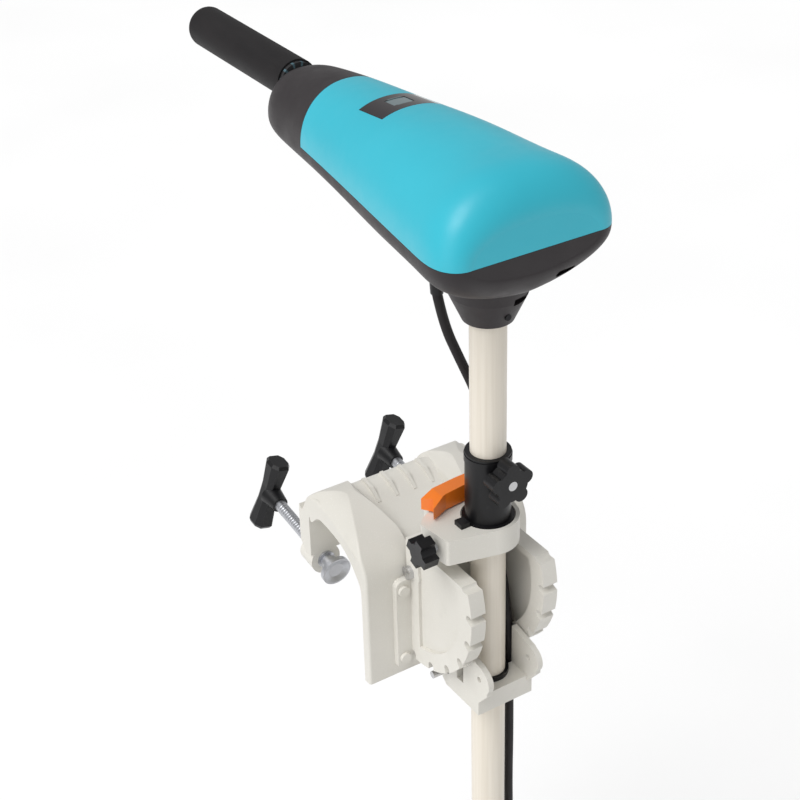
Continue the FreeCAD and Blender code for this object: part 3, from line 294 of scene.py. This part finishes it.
def smoked_window():
    """Smoked acrylic window, with the panel showing through its middle."""
    low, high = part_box("display_panel")
    centre = (low + high) / 2
    g = Graph("smoked_window")
    axes = g.add("ShaderNodeSeparateXYZ")
    g.join(g.place, axes.inputs[0])
    inside = None
    for socket, middle, half in ((axes.outputs["X"], centre.x, GLASS_HALF_X * (high.x - low.x)),
                                 (axes.outputs["Y"], centre.y, GLASS_HALF_Y * (high.y - low.y))):
        off = g.maths("ABSOLUTE", g.maths("SUBTRACT", socket, middle))
        near = g.spread(off, 1.0, 0.0, (half - GLASS_EDGE, half))
        inside = near if inside is None else g.maths("MULTIPLY", inside, near)
    tint = g.ramp(g.noise(12.0), [(0.3, (0.008, 0.004, 0.007)), (0.7, (0.014, 0.008, 0.011))])
    panel = g.ramp(g.noise(700.0, 1.0), [(0.3, (0.085, 0.13, 0.145)), (0.7, (0.11, 0.165, 0.18))])
    g.colour(g.mix(inside, tint, panel))
    g.roughness(g.spread(g.noise(150.0), 0.06, 0.14))
    g.bump(g.noise(90.0, 2.0), 0.00003, 0.3)
    g.set(Coat_Weight=0.3, Coat_Roughness=0.05, Specular_IOR_Level=0.3)
    return g.material


def display_glass():
    """Unlit liquid crystal glass."""
    g = moulded("display_glass", (0.10, 0.15, 0.165), 0.2, 800.0, 0.00002, 0.04)
    g.set(Coat_Weight=0.5, Coat_Roughness=0.1)
    return g.material


def grip_rubber():
    """Matt rubber of the twist grip: fine pebble with a lengthwise rubbed sheen."""
    g = Graph("grip_rubber")
    rub = g.noise(1.0, 5.0, 0.6, g.stretched((60.0, 14.0, 60.0)))
    g.colour(g.ramp(rub, [(0.3, (0.008, 0.007, 0.008)), (0.75, (0.020, 0.018, 0.019))]))
    g.roughness(g.spread(rub, 0.52, 0.72))
    pebble = g.add("ShaderNodeTexVoronoi", feature="SMOOTH_F1")
    pebble.inputs["Scale"].default_value = 1100.0
    g.join(g.place, pebble.inputs["Vector"])
    g.bump(pebble.outputs["Distance"], 0.00016, 0.7)
    g.set(Specular_IOR_Level=0.22)
    return g.material


def soft_rubber(name, colour):
    """Flexible PVC or rubber: cable jackets and the shaft seal."""
    g = moulded(name, colour, 0.55, 1300.0, 0.00008, 0.2)
    g.set(Specular_IOR_Level=0.25)
    return g.material


def light_ring():
    """Matt ring at the grip's root with pale blue-grey marks at even angles round it."""
    low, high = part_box("pointer_ring")
    centre = (low + high) / 2
    g = Graph("light_ring")
    mapping = g.add("ShaderNodeMapping", vector_type="POINT")
    mapping.inputs["Location"].default_value = (-centre.x, -centre.y, -centre.z)
    g.join(g.place, mapping.inputs["Vector"])
    axes = g.add("ShaderNodeSeparateXYZ")
    g.join(mapping.outputs["Vector"], axes.inputs[0])
    angle = g.maths("ARCTAN2", axes.outputs["Z"], axes.outputs["X"])
    teeth = g.maths("FRACT", g.maths("MULTIPLY", angle, RING_MARKS / (2 * math.pi)))
    tick = g.spread(g.maths("ABSOLUTE", g.maths("SUBTRACT", teeth, 0.5)), 1.0, 0.0, (0.10, 0.14))
    dark = g.ramp(g.noise(40.0), [(0.3, (0.020, 0.020, 0.022)), (0.7, (0.032, 0.032, 0.034))])
    pale = g.ramp(g.noise(300.0), [(0.3, (0.07, 0.13, 0.16)), (0.7, (0.10, 0.18, 0.21))])
    g.colour(g.mix(tick, dark, pale))
    g.roughness(g.spread(g.noise(90.0), 0.42, 0.55))
    g.bump(g.noise(1500.0, 2.0), 0.00005, 0.5)
    return g.material


def metal(name, colour, roughness, brushing):
    """Bare or plated steel with fine turning marks and slight tarnish."""
    g = Graph(name)
    tarnish = g.noise(45.0, 5.0, 0.6)
    g.colour(g.ramp(tarnish, [(0.3, shade(colour, 0.84)), (0.7, colour)]))
    g.roughness(g.spread(g.noise(120.0, 4.0), roughness - 0.08, roughness + 0.10))
    g.bump(g.noise(1.0, 3.0, 0.6, g.stretched(brushing)), 0.00002, 0.6)
    g.set(Metallic=1.0)
    return g.material


def pod_paint():
    """Satin powder coat on the aluminium pod."""
    g = Graph("pod_paint")
    g.colour(g.ramp(g.noise(14.0, 4.0), [(0.3, (0.026, 0.026, 0.029)), (0.7, (0.038, 0.038, 0.042))]))
    g.roughness(g.spread(g.noise(70.0, 4.0), 0.34, 0.46))
    peel = g.bump(g.noise(420.0, 2.0), 0.00012, 0.6)
    g.bump(g.noise(2400.0, 1.0), 0.00004, 0.5, under=peel)
    g.set(Coat_Weight=0.2, Coat_Roughness=0.3)
    return g.material


def rough_solid(name, colour, roughness, metallic=0.0):
    """Sintered, cast or laminated inner parts."""
    g = Graph(name)
    grain = g.noise(500.0, 4.0, 0.6)
    g.colour(g.ramp(grain, [(0.3, shade(colour, 0.75)), (0.7, shade(colour, 1.2))]))
    g.roughness(g.spread(grain, roughness - 0.06, roughness + 0.06))
    g.bump(grain, 0.0001, 0.6)
    g.set(Metallic=metallic)
    return g.material


def make_materials():
    """One material for each material slot of the record."""
    return {
        "bracket_white": bracket_white(),
        "black_plastic": black_plastic(),
        "orange_plastic": orange_plastic(),
        "zinc_steel": metal("zinc_steel", (0.56, 0.57, 0.60), 0.36, (90.0, 1400.0, 90.0)),
        "blackened_steel": metal("blackened_steel", (0.03, 0.03, 0.032), 0.4, (700.0, 700.0, 90.0)),
        "stainless": metal("stainless", (0.60, 0.60, 0.61), 0.28, (700.0, 700.0, 90.0)),
        "beige_shaft": beige_shaft(),
        "turquoise_cover": turquoise_cover(),
        "charcoal_housing": charcoal_housing(),
        "smoked_window": smoked_window(),
        "display_glass": display_glass(),
        "board_green": moulded("board_green", (0.03, 0.16, 0.07), 0.35, 900.0, 0.00005).material,
        "grip_rubber": grip_rubber(),
        "light_ring": light_ring(),
        "pod_paint": pod_paint(),
        "magnet_ferrite": rough_solid("magnet_ferrite", (0.06, 0.06, 0.065), 0.6),
        "armature_steel": rough_solid("armature_steel", (0.30, 0.22, 0.15), 0.45, 0.8),
        "copper": metal("copper", (0.80, 0.42, 0.24), 0.3, (60.0, 900.0, 60.0)),
        "fibre_board": rough_solid("fibre_board", (0.26, 0.14, 0.06), 0.6),
        "carbon": rough_solid("carbon", (0.03, 0.03, 0.03), 0.5),
        "seal_rubber": soft_rubber("seal_rubber", (0.02, 0.02, 0.02)),
        "cable_jacket": soft_rubber("cable_jacket", (0.014, 0.012, 0.013)),
        "lead_red": soft_rubber("lead_red", (0.35, 0.03, 0.03)),
    }


def dress(materials):
    """Gives every CAD node the material of its slot."""
    slots = {part["node"]: part["material_slot"] for part in frame["record"]["subparts"]}
    for name, node in NODES.items():
        node.data.materials.clear()
        node.data.materials.append(materials[slots[name]])


# ---------------------------------------------------------------- battery lead
LEAD_ROUTE = [                # from the gland, down beside the shaft, to the hank
    (-0.0140, -0.0180, 0.297), (-0.0100, -0.0205, 0.270), (-0.0010, -0.0280, 0.241),
    (0.0090, -0.0370, 0.210), (0.0150, -0.0430, 0.177), (0.0176, -0.0458, 0.142),
    (0.0178, -0.0462, 0.112), (0.0180, -0.0468, 0.086), (0.0195, -0.0520, 0.062),
    (0.0210, -0.0580, 0.032), (0.0225, -0.0620, -0.008), (0.0230, -0.0625, -0.046),
    (0.0240, -0.0620, -0.086), (0.0250, -0.0610, -0.132), (0.0252, -0.0600, -0.180),
    (0.0258, -0.0605, -0.226), (0.0256, -0.0600, -0.270), (0.0260, -0.0604, -0.314),
]


def end_loop(level, sign, start_y, end_y):
    """Points of half a turn from one side of the hank to the other, changing layer on the way."""
    across = ((-1.0, LOOP_CORNER), (-LOOP_CORNER, 1.0), (LOOP_CORNER, 1.0), (1.0, LOOP_CORNER))
    points = []
    for index, (x, z) in enumerate(across):
        y = start_y + (end_y - start_y) * index / (len(across) - 1)
        points.append((HANK_X - sign * x * LOOP_R, y, level + sign * z * LOOP_R))
    return points


def waist_run(side, y, downwards):
    """Points of one run that the tie pulls in towards the middle."""
    levels = WAIST_LEVELS if downwards else WAIST_LEVELS[::-1]
    return [(HANK_X + side * WAIST, y, level) for level in levels]


def hank_points():
    """Two and a half flat turns, then the tail down to the plug."""
    first, second, third = HANK_LAYERS
    points = []
    for layer, following in ((first, second), (second, third)):
        points += [(HANK_X - LOOP_R, layer, HANK_SHOULDER)]
        points += waist_run(-1, layer, True)
        points += end_loop(HANK_LOWER, -1, layer, layer)
        points += waist_run(1, layer, False)
        points += [(HANK_X + LOOP_R, layer, HANK_SHOULDER)]
        points += end_loop(HANK_UPPER, 1, layer, following)
    points += [(HANK_X - LOOP_R, third, HANK_SHOULDER)]
    points += waist_run(-1, third, True)
    points += [(TAIL_X, third, level) for level in TAIL_LEVELS]
    return points


def battery_lead(material):
    """The whole lead as one smooth cord of its real length."""
    points = LEAD_ROUTE + hank_points()
    data = bpy.data.curves.new("battery_lead", "CURVE")
    data.dimensions = "3D"
    data.bevel_depth = LEAD_DIAMETER / 2
    data.bevel_resolution = 6
    data.resolution_u = 10
    data.use_fill_caps = True
    spline = data.splines.new("NURBS")
    spline.points.add(len(points) - 1)
    for point, place in zip(spline.points, points):
        point.co = (*place, 1.0)
    spline.order_u = 3
    spline.use_endpoint_u = True
    lead = bpy.data.objects.new("battery_lead", data)
    bpy.context.collection.objects.link(lead)
    data.materials.append(material)
    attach(lead, "upright")
    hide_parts("battery_cable", "cable_hank")


# ---------------------------------------------------------------- stage
def floor(level):
    """Pale studio floor with a slight mottle."""
    bpy.ops.mesh.primitive_plane_add(size=FLOOR_SIZE, location=(0, 0, level))
    plane = bpy.context.object
    plane.name = "floor"
    g = Graph("floor")
    g.colour(g.ramp(g.noise(1.5, 2.0), [(0.3, (0.93, 0.93, 0.93)), (0.7, (0.96, 0.96, 0.96))]))
    g.set(Roughness=0.9, Specular_IOR_Level=0.1)
    plane.data.materials.append(g.material)


def side_fill():
    """Large soft lamp on the water side."""
    data = bpy.data.lights.new("side_fill", "AREA")
    data.shape = "DISK"
    data.size = FILL_SIZE
    data.energy = FILL_POWER
    lamp = bpy.data.objects.new("side_fill", data)
    lamp.location = FILL_PLACE
    lamp.rotation_euler = (Vector(FILL_AIM) - Vector(FILL_PLACE)).to_track_quat("-Z", "Y").to_euler()
    bpy.context.collection.objects.link(lamp)


def lights():
    """White surroundings, one broad sun and the side fill."""
    world = bpy.data.worlds.new("studio")
    world.use_nodes = True
    background = world.node_tree.nodes["Background"]
    background.inputs["Color"].default_value = (1.0, 1.0, 1.0, 1.0)
    background.inputs["Strength"].default_value = WORLD_STRENGTH
    bpy.context.scene.world = world
    bpy.context.scene.view_settings.view_transform = "Standard"
    sun = bpy.data.lights.new("sun", "SUN")
    sun.energy = SUN_STRENGTH
    sun.angle = SUN_ANGLE
    lamp = bpy.data.objects.new("sun", sun)
    lamp.rotation_euler = Vector(SUN_FROM).to_track_quat("Z", "Y").to_euler()
    bpy.context.collection.objects.link(lamp)
    side_fill()


def camera():
    data = bpy.data.cameras.new("camera")
    data.lens = CAMERA_LENS
    data.sensor_width = 36.0
    data.shift_x = CAMERA_SHIFT
    data.clip_start = 0.01
    eye = bpy.data.objects.new("camera", data)
    eye.location = CAMERA_PLACE
    eye.rotation_euler = [math.radians(angle) for angle in CAMERA_TURN]
    bpy.context.collection.objects.link(eye)
    bpy.context.scene.camera = eye


materials = make_materials()
dress(materials)
battery_lead(materials["cable_jacket"])
camera()
lights()
floor(cad_box[0][2] - FLOOR_DROP)
